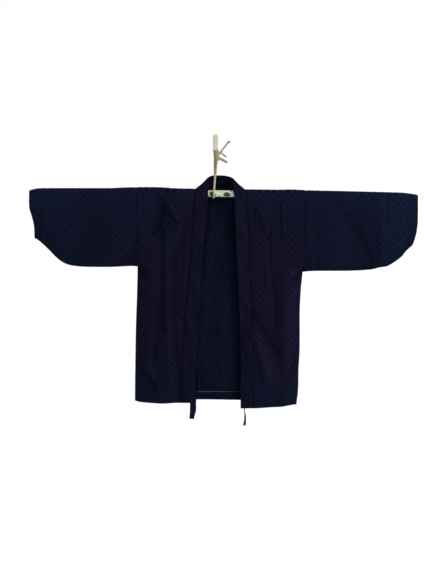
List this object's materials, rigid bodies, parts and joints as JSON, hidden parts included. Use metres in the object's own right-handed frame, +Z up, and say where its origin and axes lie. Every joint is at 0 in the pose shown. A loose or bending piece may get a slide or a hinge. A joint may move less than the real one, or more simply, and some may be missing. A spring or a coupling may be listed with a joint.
{
  "type": "hanten jacket on a hanging rod with its cord and wall hook",
  "caption": "Short quilted hanten jacket with straight sleeves, a long collar band and ties, hung flat on a cloth-covered rod from a cord over a wall hook.",
  "frame": {"origin": "middle of the wall hook's back face, on the wall plane", "axes": "+X to the right as seen from the front, +Y into the wall, +Z up"},
  "size_m": [1.2849, 0.0506, 0.9634],
  "materials": {
    "quilted_cloth": "matte",
    "band_cloth": "matte",
    "printed_cloth": "matte",
    "cord_cotton": "matte",
    "hook_plastic": "satin"
  },
  "bodies": {
    "root": {"body_left": "quilted_cloth", "body_right": "quilted_cloth", "sleeve_left": "quilted_cloth", "sleeve_right": "quilted_cloth", "collar": "band_cloth", "tie_left": "band_cloth", "tie_right": "band_cloth", "rod": "printed_cloth", "wall_hook": "hook_plastic", "cord_loop": "cord_cotton", "cord_long_tail": "cord_cotton", "cord_short_tail": "cord_cotton", "cord_bow": "cord_cotton", "cord_knot": "cord_cotton", "cord_end_knot": "cord_cotton"}
  },
  "joints": []
}
